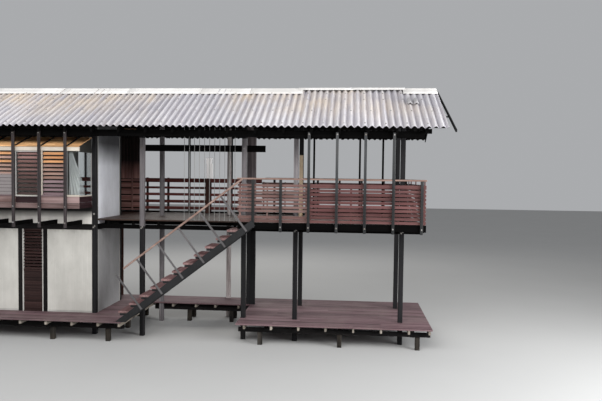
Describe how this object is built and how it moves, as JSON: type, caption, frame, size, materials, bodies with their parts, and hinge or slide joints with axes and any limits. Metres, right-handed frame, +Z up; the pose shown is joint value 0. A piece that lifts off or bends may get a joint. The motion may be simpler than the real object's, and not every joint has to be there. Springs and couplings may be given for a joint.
{
  "type": "stilt house",
  "caption": "Timber stilt house with a long corrugated gable roof, a two-storey room wing, a stair recess and an open raised veranda with slatted screens.",
  "frame": {"origin": "centre of the overall box on the ground plane, under the ridge line", "axes": "+X along the ridge to the viewer's right, +Y from the front to the back, +Z up"},
  "size_m": [12.627, 4.1155, 5.8982],
  "materials": {
    "dark_frame": "dark stained timber, matte",
    "bark_pole": "debarked round pole, rough and weathered",
    "grey_post": "thin painted post, weathered blue-grey",
    "stump": "dark rough timber",
    "pale_joist": "weathered pale timber end grain",
    "deck_board": "purplish red-brown decking oil, worn",
    "floor_board": "oiled hardwood boards",
    "wall_sheet": "painted fibre-cement sheet, pale, rain streaked",
    "louvre_timber": "oiled red-brown timber blades",
    "bay_board": "pinkish brown oiled boards",
    "window_metal": "cream painted window sections",
    "window_glass": "clear window glass",
    "lining_board": "clear finished lining boards, warm tan",
    "red_board": "dark red stained boards",
    "stair_steel": "dark blue-grey painted steel",
    "tread_timber": "red-brown treads",
    "rail_timber": "red-brown rail, worn pale on top",
    "slat_timber": "red-brown slats, sun bleached",
    "rod_steel": "thin grey rods",
    "lantern_shell": "plain off-white painted sheet",
    "roof_sheet": "weathered corrugated fibre-cement, lichen streaks",
    "ridge_metal": "pale weathered ridge cap",
    "strip_metal": "black edging strip"
  },
  "bodies": {
    "root": {"main_posts_front": "dark_frame", "main_posts_back": "dark_frame", "wing_studs": "dark_frame", "rough_poles": "bark_pole", "outer_posts_front": "grey_post", "outer_posts_back": "grey_post", "deck_stumps": "stump", "deck_bearers": "dark_frame", "deck_joists": "pale_joist", "lower_deck_left": "deck_board", "lower_walkway": "deck_board", "lower_deck_right": "deck_board", "wing_floor_beams": "dark_frame", "floor_beams": "dark_frame", "floor_joists": "dark_frame", "edge_beams": "dark_frame", "wing_floor": "floor_board", "recess_floor": "floor_board", "veranda_floor": "floor_board", "lower_wall_front": "wall_sheet", "lower_wall_back": "wall_sheet", "lower_wall_sides": "wall_sheet", "lower_louvres": "louvre_timber", "upper_wall_front": "wall_sheet", "upper_wall_back": "wall_sheet", "upper_wall_sides": "wall_sheet", "bay_box": "bay_board", "bay_window_frame": "window_metal", "bay_louvres": "louvre_timber", "bay_glass": "window_glass", "bay_roof": "lining_board", "gallery_screen": "red_board", "storage_screen": "red_board", "stair_stringers": "stair_steel", "stair_treads": "tread_timber", "stair_stanchions": "stair_steel", "handrails": "rail_timber", "slat_screen_front": "slat_timber", "slat_screen_back": "slat_timber", "slat_screen_end": "slat_timber", "gallery_rails": "slat_timber", "tie_beam": "dark_frame", "guard_rods": "rod_steel", "recess_newel": "red_board", "post_lantern": "lantern_shell", "plate_posts": "dark_frame", "eave_beams": "dark_frame", "post_plates": "dark_frame", "rafters": "dark_frame", "ridge_beam": "dark_frame", "purlins": "dark_frame", "ceiling_lining": "lining_board", "roof_sheets_front": "roof_sheet", "roof_sheets_back": "roof_sheet", "ridge_cap": "ridge_metal", "barge_strips": "strip_metal"}
  },
  "joints": []
}
